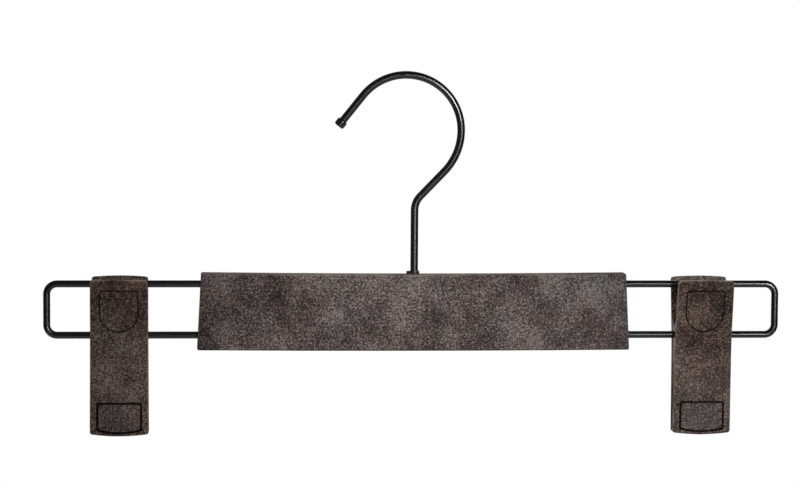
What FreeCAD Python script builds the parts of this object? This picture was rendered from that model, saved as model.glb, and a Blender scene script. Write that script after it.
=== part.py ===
"""Trouser hanger: a swivel hook, a two-shell body, two wire loops and two sliding spring clips.

Millimetres and degrees. +Z is up, +X runs along the hanger and the front faces -Y. The origin is
the point inside the hook, on the stem's axis, where the hanger sits on a rod.
"""
import FreeCAD, Part
import math
import os
import re
import Sketcher

VEC = FreeCAD.Vector
UP = VEC(0, 0, 1)
ZERO = 1e-9
TOUCH = 1e-6
ALONG_ANGLE = 5
FACING_ANGLE = 25
ARC_SAMPLES = 8
SAMPLES_APART = 2 * ARC_SAMPLES

# Each row: name, value, what it measures.
ROWS = [
    ("hook_wire", "3.6", "diameter of the hook's wire"),
    ("stem_rise", "33.3", "corner of the stem and the sloped run, above the body"),
    ("stem_bend", "9.5", "bend radius at that corner"),
    ("run_slope", "44", "sloped run from vertical"),
    ("bow_rise", "66.3", "centre of the bow above the body"),
    ("lower_bow", "27.2", "radius of the bow's lower right arc"),
    ("upper_bow", "25.4", "radius of the bow's upper arc"),
    ("tip_slope", "38.6", "straight tip from vertical"),
    ("tip_run", "14.9", "length of the straight tip up to its head"),
    ("head_width", "5.0", "diameter of the tip's head"),
    ("head_length", "3.2", "length of the head"),
    ("head_neck", "0.5", "taper from the wire to the head"),
    ("head_round", "1.0", "rounding of the head"),
    ("stem_foot_width", "5.4", "diameter of the upset foot of the stem"),
    ("stem_foot", "2.0", "thickness of that foot"),
    ("bush_width", "5.6", "outside diameter of the hook's bush"),
    ("bush_depth", "8.0", "depth of the bush in the body"),
    ("bush_flange_width", "6.4", "diameter of the bush's lower flange"),
    ("bush_flange", "1.2", "thickness of that flange"),
    ("collar_width", "4.8", "diameter of the collar above the body"),
    ("collar_rise", "1.5", "height of the collar"),
    ("key_reach", "3.6", "reach of the collar's key from the stem's axis"),
    ("key_width", "2.4", "width of the key"),
    ("washer_width", "6.2", "outside diameter of the hook's washer"),
    ("washer_thickness", "0.8", "thickness of the washer"),
    ("swivel_clearance", "0.08", "radial room of the stem in its bush"),
    ("axial_clearance", "0.1", "room between the bush, the washer and the foot"),
    ("cavity_clearance", "0.25", "room round the washer and the foot in the body"),
    ("body_top_width", "196", "length of the body along its top"),
    ("body_bottom_width", "199.6", "length of the body along its bottom"),
    ("body_height", "35.35", "height of the body at its ends"),
    ("top_hollow", "0.6", "dip of the top edge"),
    ("bottom_belly", "0.4", "belly of the bottom edge"),
    ("shell_thickness", "4.5", "thickness of one shell"),
    ("shell_corner", "0.8", "rounding of the body's four corners"),
    ("shell_edge", "0.8", "rounding round the outer face"),
    ("seat_clearance", "0.05", "room round a piece that the shells clamp"),
    ("peg_width", "4.6", "diameter of a peg between the shells"),
    ("peg_length", "2.6", "length of a peg"),
    ("peg_near", "20", "first peg from the stem's axis"),
    ("peg_far", "82", "second peg from the stem's axis"),
    ("peg_clearance", "0.05", "room round a peg and past its end"),
    ("loop_wire", "3.3", "diameter of a loop's wire"),
    ("loop_reach", "170", "outer end of a loop from the stem's axis"),
    ("loop_corner", "4.75", "bend radius of a loop's corners"),
    ("wire_drop", "5.1", "upper wire below the top of the body's ends"),
    ("wire_spacing", "23.6", "upper wire to lower wire"),
    ("leg_end", "38", "inner end of the legs from the stem's axis"),
    ("leg_foot", "6.5", "length of the bent foot of a leg"),
    ("leg_bend", "3.5", "bend radius of that foot"),
    ("left_clip_share", "0.59", "place of the left clip in its travel, from the body outwards"),
    ("right_clip_share", "0.559", "place of the right clip in its travel"),
    ("travel_room", "1.0", "room left at either end of a clip's travel"),
    ("jaw_rise", "26.5", "top of a jaw above the hinge"),
    ("jaw_drop", "46.5", "bottom of a jaw below the hinge"),
    ("jaw_top_width", "26", "width of a jaw at its top"),
    ("jaw_bottom_width", "27", "width of a jaw at its bottom"),
    ("jaw_dome", "0.6", "rise of the top edge"),
    ("jaw_bow", "1.0", "bow of the bottom edge"),
    ("jaw_corner", "1.3", "rounding of a jaw's four corners"),
    ("jaw_edge", "0.7", "rounding round the outer face"),
    ("jaw_wall", "1.9", "thickness of a jaw's plate"),
    ("foot_reach", "3.0", "outer face from the middle of the clip at the bottom"),
    ("bend_reach", "5.5", "outer face from the middle of the clip at the bend"),
    ("tab_reach", "12.1", "outer face from the middle of the clip at the top"),
    ("bend_drop", "3.0", "bend of the plate below the hinge"),
    ("bend_round", "100", "radius of that bend"),
    ("cheek_inset", "0.1", "outer face of a jaw's cheek inside the edge of its plate"),
    ("cheek_wall", "1.8", "thickness of a cheek or an ear"),
    ("cheek_rise", "9.0", "top of the cheeks above the hinge"),
    ("cheek_drop", "21", "bottom of the cheeks below the hinge"),
    ("cheek_taper", "5.0", "height over which a cheek runs out"),
    ("cheek_gap", "0.25", "room from a cheek to the middle of the clip"),
    ("open_angle", "14.5", "slant of the cheeks above the hinge, over the jaw's travel"),
    ("ear_radius", "3.7", "outside radius of a hinge ear"),
    ("ear_clearance", "0.3", "room round an ear in the other jaw's cheek"),
    ("ear_gap", "0.2", "room between two ears along the hinge"),
    ("ear_fit", "0.08", "radial room of an ear on the hinge tube"),
    ("tube_width", "4.5", "outside diameter of the hinge tube"),
    ("tube_fit", "0.08", "radial room of the tube on the wire"),
    ("tube_inset", "0.2", "end of the tube inside the cheek's outer face"),
    ("spring_wire", "1.1", "diameter of the spring's wire"),
    ("spring_gap", "0.6", "room between two turns"),
    ("spring_turns", "5", "turns of the spring, its two open quarters included"),
    ("spring_leg", "17", "height of a leg above the hinge"),
    ("spring_toe", "4.5", "length of the bent toe of a leg"),
    ("spring_bend", "1.8", "bend radius of that toe"),
    ("spring_clearance", "0.2", "room from a leg to its jaw"),
    ("window_width", "20.9", "width of the window low on a jaw"),
    ("window_height", "13.4", "height of the window at its sides"),
    ("window_bow", "1.3", "bow of the window's bottom edge"),
    ("window_rim", "1.1", "rim of the jaw below the window"),
    ("window_corner", "1.3", "rounding of the window's corners"),
    ("pad_gap", "0.95", "gap round the pad in its window"),
    ("pad_lap", "1.8", "lap of the pad behind the jaw, at the sides and the top"),
    ("pad_foot", "0.5", "lap of the pad below the window"),
    ("pad_clearance", "0.15", "pad's gripping face from the middle of the clip"),
    ("pad_seat", "0.03", "room between the pad and the jaw behind it"),
    ("groove_pitch", "1.9", "spacing of the grooves in a gripping face"),
    ("groove_width", "0.8", "width of a groove"),
    ("groove_depth", "0.35", "depth of a groove"),
    ("groove_count", "7", "grooves in a gripping face"),
    ("thumb_width", "18.0", "width of the incised thumb mark"),
    ("thumb_height", "20.2", "height of the thumb mark"),
    ("thumb_corner", "1.6", "rounding of the thumb mark's top corners"),
    ("thumb_drop", "5.1", "top of the thumb mark below the top of the jaw"),
    ("thumb_line", "0.6", "width of the incised line"),
    ("thumb_depth", "0.5", "depth of the incised line"),
    ("overrun", "2.0", "how far a cutter runs past what it cuts"),
]

doc = FreeCAD.newDocument("TrouserHanger")
sheet = doc.addObject("Spreadsheet::Sheet", "Sizes")
for row, (name, amount, note) in enumerate(ROWS, start=1):
    sheet.set(f"A{row}", note)
    sheet.set(f"B{row}", amount)
    sheet.setAlias(f"B{row}", name)
doc.recompute()
NAMES = {name for name, amount, note in ROWS}


def formula(text):
    """The text with each size's name written as its cell."""
    return re.sub(r"[a-z]\w*", lambda word: f"Sizes.{word[0]}" if word[0] in NAMES else word[0], text)


def value(text):
    """The number that a formula on the sizes gives."""
    return float(sheet.evalExpression(formula(text)))


# Places along the hook, above the top of the body.
LOWER_BOW_X = "(((bow_rise - stem_rise) * sin(run_slope) - lower_bow) / cos(run_slope))"
UPPER_BOW_X = f"({LOWER_BOW_X} + lower_bow - upper_bow)"
SEAT_RISE = f"(bow_rise + sqrt((upper_bow - hook_wire / 2)^2 - {UPPER_BOW_X}^2))"
BEND_RUN = "(stem_bend * tan(run_slope / 2))"
TIP_X = f"({UPPER_BOW_X} - upper_bow * cos(tip_slope) - tip_run * sin(tip_slope))"
TIP_Z = "(bow_rise + upper_bow * sin(tip_slope) - tip_run * cos(tip_slope))"

# Heights in the body, from the middle of its top edge.
END_TOP = "top_hollow"
END_BOTTOM = "(top_hollow - body_height)"
WASHER_TOP = "(-(bush_depth + axial_clearance))"
FOOT_TOP = f"({WASHER_TOP} - washer_thickness - axial_clearance)"
FOOT_BOTTOM = f"({FOOT_TOP} - stem_foot)"
UPPER_WIRE = f"({END_TOP} - wire_drop)"
LOWER_WIRE = f"({UPPER_WIRE} - wire_spacing)"
PEG_HEIGHT = f"({UPPER_WIRE} - wire_spacing / 2)"

# A clip's travel along the lower wire, from the stem's axis.
TRAVEL_START = "((body_bottom_width + jaw_bottom_width) / 2 + travel_room)"
CHEEK_HALF = "(jaw_top_width / 2 - cheek_inset)"
TUBE_HALF = f"({CHEEK_HALF} - tube_inset)"
TRAVEL_END = f"(loop_reach - loop_wire / 2 - loop_corner - {TUBE_HALF} - travel_room)"
LEFT_CLIP = f"-({TRAVEL_START} + left_clip_share * ({TRAVEL_END} - {TRAVEL_START}))"
RIGHT_CLIP = f"({TRAVEL_START} + right_clip_share * ({TRAVEL_END} - {TRAVEL_START}))"

# A jaw's outer face, as its distance from the middle of the clip.
TAB_SLOPE = "((tab_reach - bend_reach) / (jaw_rise + bend_drop))"
FOOT_SLOPE = "((bend_reach - foot_reach) / (jaw_drop - bend_drop))"
HINGE_REACH = f"(bend_reach + bend_drop * {TAB_SLOPE})"
WINDOW_BOTTOM = "(-(jaw_drop - window_rim - window_bow))"
PAD_BOTTOM = "(-(jaw_drop - window_rim + pad_foot))"
PAD_TOP = f"({WINDOW_BOTTOM} + window_height + pad_lap)"


def upper_reach(height):
    """Reach of the outer face at a height above the hinge."""
    return f"({HINGE_REACH} + ({height}) * {TAB_SLOPE})"


def lower_reach(height):
    """Reach of the outer face at a height below the bend, written as a negative height."""
    return f"(foot_reach + (jaw_drop + ({height})) * {FOOT_SLOPE})"


def bow_radius(half_width, rise):
    """Radius of a shallow arc of that half width and rise."""
    return f"((({half_width})^2 + ({rise})^2) / (2 * ({rise})))"


def new_body(label):
    """An empty body with its label."""
    body = doc.addObject("PartDesign::Body", label)
    body.Label = label
    return body


def new_sketch(body, name, plane, offset=("0", "0", "0"), turn=None):
    """A sketch on one of the body's origin planes, moved by three formulas and turned about one axis."""
    sketch = body.newObject("Sketcher::SketchObject", name)
    support = [item for item in body.Origin.OriginFeatures if item.Role == plane][0]
    sketch.AttachmentSupport = (support, "")
    sketch.MapMode = "FlatFace"
    if turn:
        axis, angle = turn
        sketch.AttachmentOffset = FreeCAD.Placement(VEC(0, 0, 0), FreeCAD.Rotation(axis, value(angle)))
        sketch.setExpression("AttachmentOffset.Rotation.Angle", formula(angle))
    for letter, text in zip("xyz", offset):
        if text != "0":
            sketch.setExpression(f"AttachmentOffset.Base.{letter}", formula(text))
    doc.recompute()
    return sketch


def pin(sketch, curve, end, place):
    """Ties one end of a curve to its place, given as two formulas."""
    for letter, axis, text in (("X", -2, place[0]), ("Y", -1, place[1])):
        if abs(value(text)) < ZERO:
            sketch.addConstraint(Sketcher.Constraint("PointOnObject", curve, end, axis))
            continue
        index = sketch.addConstraint(
            Sketcher.Constraint(f"Distance{letter}", -1, 1, curve, end, value(text)))
        sketch.setExpression(f"Constraints[{index}]", formula(text))


def size_radius(sketch, curve, text):
    """Ties the radius of a curve to its formula."""
    index = sketch.addConstraint(Sketcher.Constraint("Radius", curve, value(text)))
    sketch.setExpression(f"Constraints[{index}]", formula(text))


def side_curve(start, corner):
    """A straight side from start to the corner, or an arc that bows out on its right (1) or left (-1)."""
    finish = VEC(value(corner[0]), value(corner[1]), 0)
    if len(corner) == 2:
        return Part.LineSegment(start, finish), finish
    chord = finish - start
    radius = value(corner[2])
    rise = radius - math.sqrt(max(radius ** 2 - chord.Length ** 2 / 4, 0))
    across = VEC(chord.y, -chord.x, 0).normalize() * (rise * corner[3])
    return Part.Arc(start, start + chord / 2 + across, finish), finish


def draw(sketch, corners, closed=True):
    """Draws sides through the corners: (x, y), or (x, y, radius, side) for one reached by an arc."""
    route = corners + corners[:1] if closed else corners
    place = VEC(value(route[0][0]), value(route[0][1]), 0)
    before = None
    first = None
    for corner in route[1:]:
        curve, finish = side_curve(place, corner)
        index = sketch.addGeometry(curve)
        begin = 1 if sketch.getPoint(index, 1).isEqual(place, TOUCH) else 2
        if before:
            sketch.addConstraint(Sketcher.Constraint("Coincident", *before, index, begin))
        else:
            first = (index, begin)
            pin(sketch, index, begin, route[0])
        before = (index, 3 - begin)
        if closed and corner is route[-1]:
            sketch.addConstraint(Sketcher.Constraint("Coincident", *before, *first))
        else:
            pin(sketch, *before, corner)
        if len(corner) == 4:
            size_radius(sketch, index, corner[2])
        place = finish


def circle(sketch, x, y, radius):
    """A circle with its centre and its radius tied to formulas."""
    centre = VEC(value(x), value(y), 0)
    index = sketch.addGeometry(Part.Circle(centre, UP, value(radius)))
    pin(sketch, index, 3, (x, y))
    size_radius(sketch, index, radius)


def extrude(body, kind, sketch, length, sides="One side", back=False):
    """A Pad or a Pocket of the sketch by a length, or a Pocket through all where it is None."""
    feature = body.newObject(f"PartDesign::{kind}", f"{sketch.Name}{kind}")
    feature.Profile = sketch
    feature.SideType = sides
    feature.Reversed = back
    if length is None:
        feature.Type = "ThroughAll"
    else:
        feature.setExpression("Length", formula(length))
    doc.recompute()
    return feature


def turned(body, kind, sketch):
    """A full Revolution or Groove of the sketch about its vertical axis."""
    feature = body.newObject(f"PartDesign::{kind}", f"{sketch.Name}{kind}")
    feature.Profile = sketch
    feature.ReferenceAxis = (sketch, ["V_Axis"])
    feature.Angle = 360
    doc.recompute()
    return feature


def pipe(body, kind, path, section):
    """A pipe of the section along the path."""
    feature = body.newObject(f"PartDesign::{kind}", f"{path.Name}{kind}")
    feature.Profile = section
    feature.Spine = (path, [])
    doc.recompute()
    return feature


def rounded(body, base, edges, radius):
    """A fillet of the listed edges, given as their numbers in the shape of the base."""
    feature = body.newObject("PartDesign::Fillet", f"{base.Name}Round")
    feature.Base = (base, [f"Edge{number}" for number in edges])
    feature.setExpression("Radius", formula(radius))
    doc.recompute()
    return feature


def edges_along(shape, direction):
    """Numbers of the straight edges that run along the direction."""
    found = []
    for number, edge in enumerate(shape.Edges, start=1):
        if edge.Curve.TypeId != "Part::GeomLine":
            continue
        angle = math.degrees(edge.tangentAt(edge.FirstParameter).getAngle(direction))
        if min(angle, 180 - angle) < ALONG_ANGLE:
            found.append(number)
    return found


def rim_edges(shape, facing):
    """Numbers of the edges round the faces that are turned the given way."""
    faces = []
    for face in shape.Faces:
        middle = face.Surface.parameter(face.CenterOfMass)
        if math.degrees(face.normalAt(*middle).getAngle(facing)) < FACING_ANGLE:
            faces.append(face)
    found = []
    for number, edge in enumerate(shape.Edges, start=1):
        owners = [face for face in faces if any(edge.isSame(other) for other in face.Edges)]
        if len(owners) == 1:
            found.append(number)
    return found


def place_body(part, x="0", z="0", half_turn=False):
    """Puts a finished body in the hanger's frame."""
    if half_turn:
        part.Placement = FreeCAD.Placement(VEC(0, 0, 0), FreeCAD.Rotation(UP, 180))
    if x != "0":
        part.setExpression("Placement.Base.x", formula(x))
    part.setExpression("Placement.Base.z", formula(f"{z} - {SEAT_RISE}"))
    doc.recompute()


# The hook: stem, sloped run, bow and straight tip in one wire.
def make_hook():
    body = new_body("hook")
    path = new_sketch(body, "HookPath", "XZ_Plane")
    draw(path, [
        ("0", FOOT_TOP),
        ("0", f"stem_rise - {BEND_RUN}"),
        (f"{BEND_RUN} * sin(run_slope)", f"stem_rise + {BEND_RUN} * cos(run_slope)", "stem_bend", -1),
        (f"{LOWER_BOW_X} + lower_bow * cos(run_slope)", "bow_rise - lower_bow * sin(run_slope)"),
        (f"{LOWER_BOW_X} + lower_bow", "bow_rise", "lower_bow", 1),
        (UPPER_BOW_X, "bow_rise + upper_bow", "upper_bow", 1),
        (f"{UPPER_BOW_X} - upper_bow * cos(tip_slope)", "bow_rise + upper_bow * sin(tip_slope)",
         "upper_bow", 1),
        (TIP_X, TIP_Z),
    ], closed=False)
    section = new_sketch(body, "HookSection", "XY_Plane", ("0", "0", FOOT_TOP))
    circle(section, "0", "0", "hook_wire / 2")
    pipe(body, "AdditivePipe", path, section)
    foot = new_sketch(body, "StemFoot", "XY_Plane", ("0", "0", FOOT_BOTTOM))
    circle(foot, "0", "0", "stem_foot_width / 2")
    extrude(body, "Pad", foot, "stem_foot")
    head = new_sketch(body, "TipHead", "XZ_Plane", (TIP_X, TIP_Z, "0"), (UP, "180 - tip_slope"))
    draw(head, [
        ("0", "-head_neck"),
        ("hook_wire / 2", "-head_neck"),
        ("head_width / 2", "0"),
        ("head_width / 2", "head_length - head_round"),
        ("head_width / 2 - head_round", "head_length", "head_round", 1),
        ("0", "head_length"),
    ])
    turned(body, "Revolution", head)
    place_body(body)
    return body


# The bush that the stem turns in, with its collar and key above the body.
def make_bush():
    body = new_body("hook_bush")
    bore = "(hook_wire / 2 + swivel_clearance)"
    sleeve = new_sketch(body, "BushSleeve", "XZ_Plane")
    draw(sleeve, [
        (bore, "-bush_depth"),
        ("bush_flange_width / 2", "-bush_depth"),
        ("bush_flange_width / 2", "bush_flange - bush_depth"),
        ("bush_width / 2", "bush_flange - bush_depth"),
        ("bush_width / 2", "0"),
        ("collar_width / 2", "0"),
        ("collar_width / 2", "collar_rise"),
        (bore, "collar_rise"),
    ])
    turned(body, "Revolution", sleeve)
    key = new_sketch(body, "BushKey", "XY_Plane")
    inner = f"-({bore} + collar_width / 2) / 2"
    draw(key, [
        (inner, "-key_width / 2"),
        (inner, "key_width / 2"),
        ("key_width / 2 - key_reach", "key_width / 2"),
        ("-key_reach", "0", "key_width / 2", -1),
        ("key_width / 2 - key_reach", "-key_width / 2", "key_width / 2", -1),
    ])
    extrude(body, "Pad", key, "collar_rise")
    place_body(body)
    return body


def make_washer():
    body = new_body("hook_washer")
    ring = new_sketch(body, "WasherRing", "XY_Plane", ("0", "0", f"{WASHER_TOP} - washer_thickness"))
    circle(ring, "0", "0", "washer_width / 2")
    circle(ring, "0", "0", "hook_wire / 2 + swivel_clearance")
    extrude(body, "Pad", ring, "washer_thickness")
    place_body(body)
    return body


def loop_sketches(body, side, radius):
    """Path and section of one loop's wire: side is 1 on the right and -1 on the left."""
    along = "" if side > 0 else "-1 * "
    end = "loop_reach - loop_wire / 2"
    path = new_sketch(body, "LoopPath", "XZ_Plane")
    draw(path, [
        (f"{along}leg_end", f"{UPPER_WIRE} - leg_foot"),
        (f"{along}leg_end", f"{UPPER_WIRE} - leg_bend"),
        (f"{along}(leg_end + leg_bend)", UPPER_WIRE, "leg_bend", -side),
        (f"{along}({end} - loop_corner)", UPPER_WIRE),
        (f"{along}({end})", f"{UPPER_WIRE} - loop_corner", "loop_corner", -side),
        (f"{along}({end})", f"{LOWER_WIRE} + loop_corner"),
        (f"{along}({end} - loop_corner)", LOWER_WIRE, "loop_corner", -side),
        (f"{along}(leg_end + leg_bend)", LOWER_WIRE),
        (f"{along}leg_end", f"{LOWER_WIRE} + leg_bend", "leg_bend", -side),
        (f"{along}leg_end", f"{LOWER_WIRE} + leg_foot"),
    ], closed=False)
    section = new_sketch(body, "LoopSection", "XY_Plane",
                         (f"{along}leg_end", "0", f"{UPPER_WIRE} - leg_foot"))
    circle(section, "0", "0", radius)
    return path, section


def make_loop(label, side):
    body = new_body(label)
    path, section = loop_sketches(body, side, "loop_wire / 2")
    pipe(body, "AdditivePipe", path, section)
    place_body(body)
    return body


# One half of the body: facing is -1 for the front shell and 1 for the back shell.
def make_shell(label, facing):
    body = new_body(label)
    outline = new_sketch(body, "ShellOutline", "XZ_Plane")
    draw(outline, [
        ("-body_bottom_width / 2", END_BOTTOM),
        ("body_bottom_width / 2", END_BOTTOM, bow_radius("body_bottom_width / 2", "bottom_belly"), 1),
        ("body_top_width / 2", END_TOP),
        ("-body_top_width / 2", END_TOP, bow_radius("body_top_width / 2", "top_hollow"), -1),
    ])
    block = extrude(body, "Pad", outline, "shell_thickness", back=facing > 0)
    corners = rounded(body, block, edges_along(block.Shape, VEC(0, 1, 0)), "shell_corner")
    rounded(body, corners, rim_edges(corners.Shape, VEC(0, facing, 0)), "shell_edge")
    for side in (1, -1):
        path, section = loop_sketches(body, side, "loop_wire / 2 + seat_clearance")
        pipe(body, "SubtractivePipe", path, section)
    cavity = new_sketch(body, "HookCavity", "XZ_Plane")
    flange = "bush_flange_width / 2 + seat_clearance"
    sleeve = "bush_width / 2 + seat_clearance"
    well = "washer_width / 2 + cavity_clearance"
    draw(cavity, [
        ("0", f"{FOOT_BOTTOM} - cavity_clearance"),
        (well, f"{FOOT_BOTTOM} - cavity_clearance"),
        (well, "-bush_depth - seat_clearance"),
        (flange, "-bush_depth - seat_clearance"),
        (flange, "bush_flange - bush_depth + seat_clearance"),
        (sleeve, "bush_flange - bush_depth + seat_clearance"),
        (sleeve, "overrun"),
        ("0", "overrun"),
    ])
    turned(body, "Groove", cavity)
    pegs = new_sketch(body, "ShellPegs", "XZ_Plane")
    room = "0" if facing < 0 else "peg_clearance"
    for place in ("peg_near", "-peg_near", "peg_far", "-peg_far"):
        circle(pegs, place, PEG_HEIGHT, f"peg_width / 2 + {room}")
    if facing < 0:
        extrude(body, "Pad", pegs, "peg_length", back=True)
    else:
        extrude(body, "Pocket", pegs, "peg_length + peg_clearance")
    place_body(body)
    return body


def jaw_plate(body):
    """The jaw's bent plate, cut to its outline and rounded."""
    profile = new_sketch(body, "JawProfile", "YZ_Plane")
    draw(profile, [
        ("-foot_reach", "-jaw_drop"),
        ("-bend_reach", "-bend_drop"),
        ("-tab_reach", "jaw_rise"),
        ("jaw_wall - tab_reach", "jaw_rise"),
        ("jaw_wall - bend_reach", "-bend_drop"),
        ("jaw_wall - foot_reach", "-jaw_drop"),
    ])
    plate = extrude(body, "Pad", profile, "jaw_bottom_width + overrun", "Symmetric")
    bends = []
    for number in edges_along(plate.Shape, VEC(1, 0, 0)):
        if abs(plate.Shape.Edges[number - 1].CenterOfMass.z + value("bend_drop")) < TOUCH:
            bends.append(number)
    rounded(body, plate, bends, "bend_round")
    outline = new_sketch(body, "JawOutline", "XZ_Plane")
    draw(outline, [
        ("-jaw_bottom_width / 2", "jaw_bow - jaw_drop"),
        ("jaw_bottom_width / 2", "jaw_bow - jaw_drop", bow_radius("jaw_bottom_width / 2", "jaw_bow"), 1),
        ("jaw_top_width / 2", "jaw_rise - jaw_dome"),
        ("-jaw_top_width / 2", "jaw_rise - jaw_dome", bow_radius("jaw_top_width / 2", "jaw_dome"), 1),
    ])
    draw(outline, [
        ("-jaw_bottom_width", "-jaw_drop - overrun"),
        ("jaw_bottom_width", "-jaw_drop - overrun"),
        ("jaw_bottom_width", "jaw_rise + overrun"),
        ("-jaw_bottom_width", "jaw_rise + overrun"),
    ])
    cut = extrude(body, "Pocket", outline, None, "Symmetric")
    corners = rounded(body, cut, edges_along(cut.Shape, VEC(0, 1, 0)), "jaw_corner")
    return rounded(body, corners, rim_edges(corners.Shape, VEC(0, -1, 0)), "jaw_edge")


def jaw_cheeks(body):
    """Both cheeks, the outer ear on the right and the inner ear on the left, with the hinge bore."""
    inner = "jaw_wall / 2"
    slant = "tan(open_angle)"
    foot = "-(cheek_drop + cheek_taper)"
    for name, start in (("Right", f"{CHEEK_HALF} - cheek_wall"), ("Left", f"-{CHEEK_HALF}")):
        cheek = new_sketch(body, f"{name}Cheek", "YZ_Plane", ("0", "0", start))
        draw(cheek, [
            (f"{inner} - {upper_reach('cheek_rise')}", "cheek_rise"),
            (f"-(cheek_rise / 2 * {slant} + cheek_gap)", "cheek_rise / 2"),
            ("-cheek_gap", "0"),
            ("-cheek_gap", "-cheek_drop"),
            (f"{inner} - {lower_reach(foot)}", foot),
            (f"{inner} - bend_reach", "-bend_drop"),
        ])
        extrude(body, "Pad", cheek, "cheek_wall")
    notch = new_sketch(body, "EarNotch", "YZ_Plane", ("0", "0", f"-{CHEEK_HALF} - overrun"))
    circle(notch, "0", "0", "ear_radius + ear_clearance")
    extrude(body, "Pocket", notch, "cheek_wall + overrun", back=True)
    outer = new_sketch(body, "OuterEar", "YZ_Plane", ("0", "0", f"{CHEEK_HALF} - cheek_wall"))
    circle(outer, "0", "0", "ear_radius")
    extrude(body, "Pad", outer, "cheek_wall")
    ear = new_sketch(body, "InnerEar", "YZ_Plane", ("0", "0", f"ear_gap + cheek_wall - {CHEEK_HALF}"))
    draw(ear, [
        ("0", "-ear_radius"),
        ("ear_radius", "0", "ear_radius", 1),
        ("0", "ear_radius", "ear_radius", 1),
        (f"{inner} - {upper_reach('ear_radius')}", "ear_radius"),
        (f"{inner} - bend_reach", "-bend_drop"),
        (f"{inner} - {lower_reach('-ear_radius')}", "-ear_radius"),
    ])
    extrude(body, "Pad", ear, "cheek_wall")
    bore = new_sketch(body, "HingeBore", "YZ_Plane")
    circle(bore, "0", "0", "tube_width / 2 + ear_fit")
    extrude(body, "Pocket", bore, None, "Symmetric")


def window_corners(gap):
    """Outline of the window, drawn in by a gap, with round corners and a bowed bottom edge."""
    half = f"(window_width / 2 - {gap})"
    corner = f"(window_corner - {gap})"
    inset = f"({half} - {corner})"
    top = f"({WINDOW_BOTTOM} + window_height - {gap})"
    bow = bow_radius(half, "window_bow")
    bow_centre = f"({WINDOW_BOTTOM} + {gap} + sqrt({bow}^2 - {half}^2))"
    fall = f"sqrt(({bow} - {corner})^2 - {inset}^2)"
    reach = f"({bow} / ({bow} - {corner}))"
    return [
        (f"-{half}", f"{bow_centre} - {fall}"),
        (f"-{inset} * {reach}", f"{bow_centre} - {fall} * {reach}", corner, 1),
        (f"{inset} * {reach}", f"{bow_centre} - {fall} * {reach}", bow, 1),
        (half, f"{bow_centre} - {fall}", corner, 1),
        (half, f"{top} - {corner}"),
        (inset, top, corner, 1),
        (f"-{inset}", top),
        (f"-{half}", f"{top} - {corner}", corner, 1),
    ]


def thumb_corners(gap):
    """Outline of the thumb mark, drawn in by a gap: a flat top and a half-round bottom."""
    half = f"(thumb_width / 2 - {gap})"
    corner = f"(thumb_corner - {gap})"
    inset = f"({half} - {corner})"
    top = f"({upper_face('jaw_rise')} - thumb_drop - {gap})"
    centre = f"({upper_face('jaw_rise')} - thumb_drop - thumb_height + thumb_width / 2)"
    return [
        (f"-{half}", centre),
        ("0", f"{centre} - {half}", half, 1),
        (half, centre, half, 1),
        (half, f"{top} - {corner}"),
        (inset, top, corner, 1),
        (f"-{inset}", top),
        (f"-{half}", f"{top} - {corner}", corner, 1),
    ]


def upper_face(height):
    """Distance up the sloped outer face, from the hinge's level, of a height above the hinge."""
    return f"(({height}) / cos(atan({TAB_SLOPE})))"


# One jaw, made facing the front with the hinge's axis through its origin.
def make_jaw(label, clip, half_turn):
    body = new_body(label)
    jaw_plate(body)
    jaw_cheeks(body)
    window = new_sketch(body, "JawWindow", "XZ_Plane")
    draw(window, window_corners("0"))
    extrude(body, "Pocket", window, None, "Symmetric")
    thumb = new_sketch(body, "ThumbMark", "XZ_Plane", ("0", "0", HINGE_REACH),
                       (VEC(1, 0, 0), f"atan({TAB_SLOPE})"))
    draw(thumb, thumb_corners("0"))
    draw(thumb, thumb_corners("thumb_line"))
    extrude(body, "Pocket", thumb, "2 * thumb_depth", "Symmetric")
    place_body(body, clip, LOWER_WIRE, half_turn)
    return body


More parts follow.
